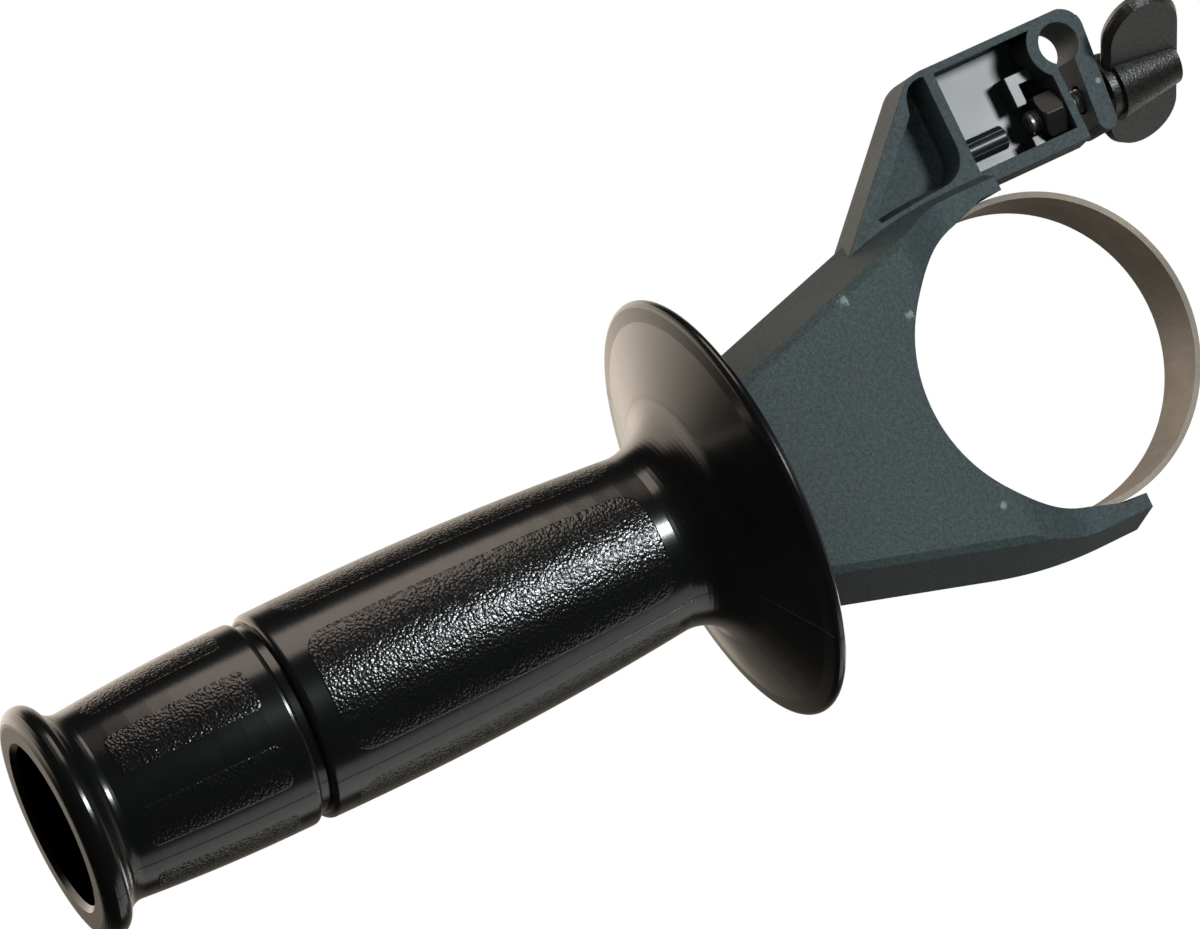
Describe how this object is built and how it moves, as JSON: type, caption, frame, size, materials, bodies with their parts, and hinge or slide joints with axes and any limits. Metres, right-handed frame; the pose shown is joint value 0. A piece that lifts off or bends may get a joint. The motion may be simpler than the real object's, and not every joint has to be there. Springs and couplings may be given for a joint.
{
  "type": "power tool side handle",
  "caption": "Side handle for a drill or grinder: plastic yoke with a steel strap clamp, screw-down grip with guard disc, and a depth-stop box with a thumb screw.",
  "frame": {"origin": "on the axis of the clamped collar, halfway through the thickness of the handle", "axes": "+Y along the collar axis, away from the open side of the depth-stop box; +Z away from the grip, along the grip's axis; the depth-stop box is on the -X side"},
  "size_m": [0.0838, 0.07, 0.2176],
  "materials": {
    "yoke_nylon": "matte, fine grain, dark blue-grey",
    "strap_steel": "dull, lightly scratched, brownish grey",
    "zinc_steel": "zinc plated",
    "dark_steel": "dark oiled steel",
    "grip_plastic": "black, satin gloss, with pebbled panels",
    "knob_plastic": "black-brown, fine grain"
  },
  "bodies": {
    "yoke": {"yoke": "yoke_nylon", "thrust_washer": "zinc_steel", "stop_nut": "dark_steel"},
    "grip": {"grip": "grip_plastic", "grip_nut": "zinc_steel"},
    "strap": {"clamp_strap": "strap_steel", "clamp_bolt": "zinc_steel"},
    "thumb_screw": {"thumb_knob": "knob_plastic", "thumb_stud": "zinc_steel"}
  },
  "joints": [
    {"name": "grip_turn", "type": "hinge", "parent": "yoke", "child": "grip", "pos_m": [0, 0, -0.115], "axis": [0, 0, -1], "range_deg": [0, 864]},
    {"name": "strap_slide", "type": "slide", "parent": "yoke", "child": "strap", "axis": [0, 0, 1], "range_m": [0, 0.003]},
    {"name": "thumb_turn", "type": "hinge", "parent": "yoke", "child": "thumb_screw", "pos_m": [-0.0342, -0.00164, 0.036], "axis": [0, 0, 1], "range_deg": [0, 720]}
  ],
  "couplings": [
    {"joint": "strap_slide", "follows": "grip_turn", "m_per_rad": 0.00019894}
  ]
}
